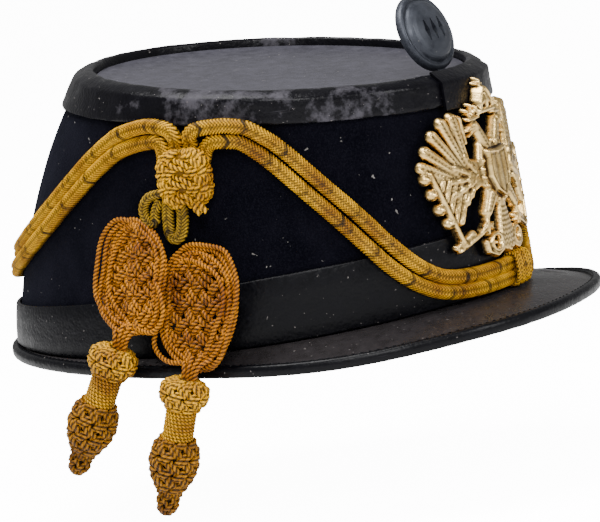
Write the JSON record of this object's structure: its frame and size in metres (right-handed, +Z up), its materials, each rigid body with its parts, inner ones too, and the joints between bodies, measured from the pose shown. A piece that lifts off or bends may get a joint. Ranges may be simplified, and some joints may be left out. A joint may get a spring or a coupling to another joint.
{
  "type": "shako hat",
  "caption": "Low stiff shako with a sloping felt crown, recessed leather top, brim and peak, pierced metal eagle badge, cockade and braided cords ending in tassels.",
  "frame": {"origin": "middle of the head opening, level with the seam between the crown and the brim", "axes": "+Z up towards the crown's top, -Y towards the peak, -X towards the wearer's right with the tassels"},
  "size_m": [0.1989, 0.2288, 0.1677],
  "materials": {
    "felt": "dense black wool felt with a slight blue cast, worn and dusty in places",
    "black_leather": "old blacked leather, semi-gloss, scuffed grey at the edges",
    "dark_metal": "blackened pressed metal, satin",
    "gilt_brass": "cast and gilt brass, bright on the relief and dark in the hollows",
    "gold_cord": "flat herringbone braid in golden yellow silk with dark flecks",
    "orange_cord": "twisted cord in orange yellow silk, knotted into mats"
  },
  "bodies": {
    "root": {"crown_shell": "felt", "crown_band": "black_leather", "top_disc": "black_leather", "base_band": "black_leather", "peak": "black_leather", "peak_edging": "black_leather", "front_tab": "black_leather", "cockade": "dark_metal", "eagle_badge": "gilt_brass", "cord_right_upper": "gold_cord", "cord_right_lower": "gold_cord", "cord_left_upper": "gold_cord", "cord_left_lower": "gold_cord", "cord_rear_upper": "gold_cord", "cord_rear_lower": "gold_cord", "front_keeper": "gold_cord", "side_knot": "gold_cord", "left_button": "gold_cord", "loop_left": "gold_cord", "loop_right": "gold_cord", "flounder_left": "orange_cord", "flounder_right": "orange_cord", "tassel_left": "gold_cord", "tassel_right": "gold_cord"}
  },
  "joints": []
}
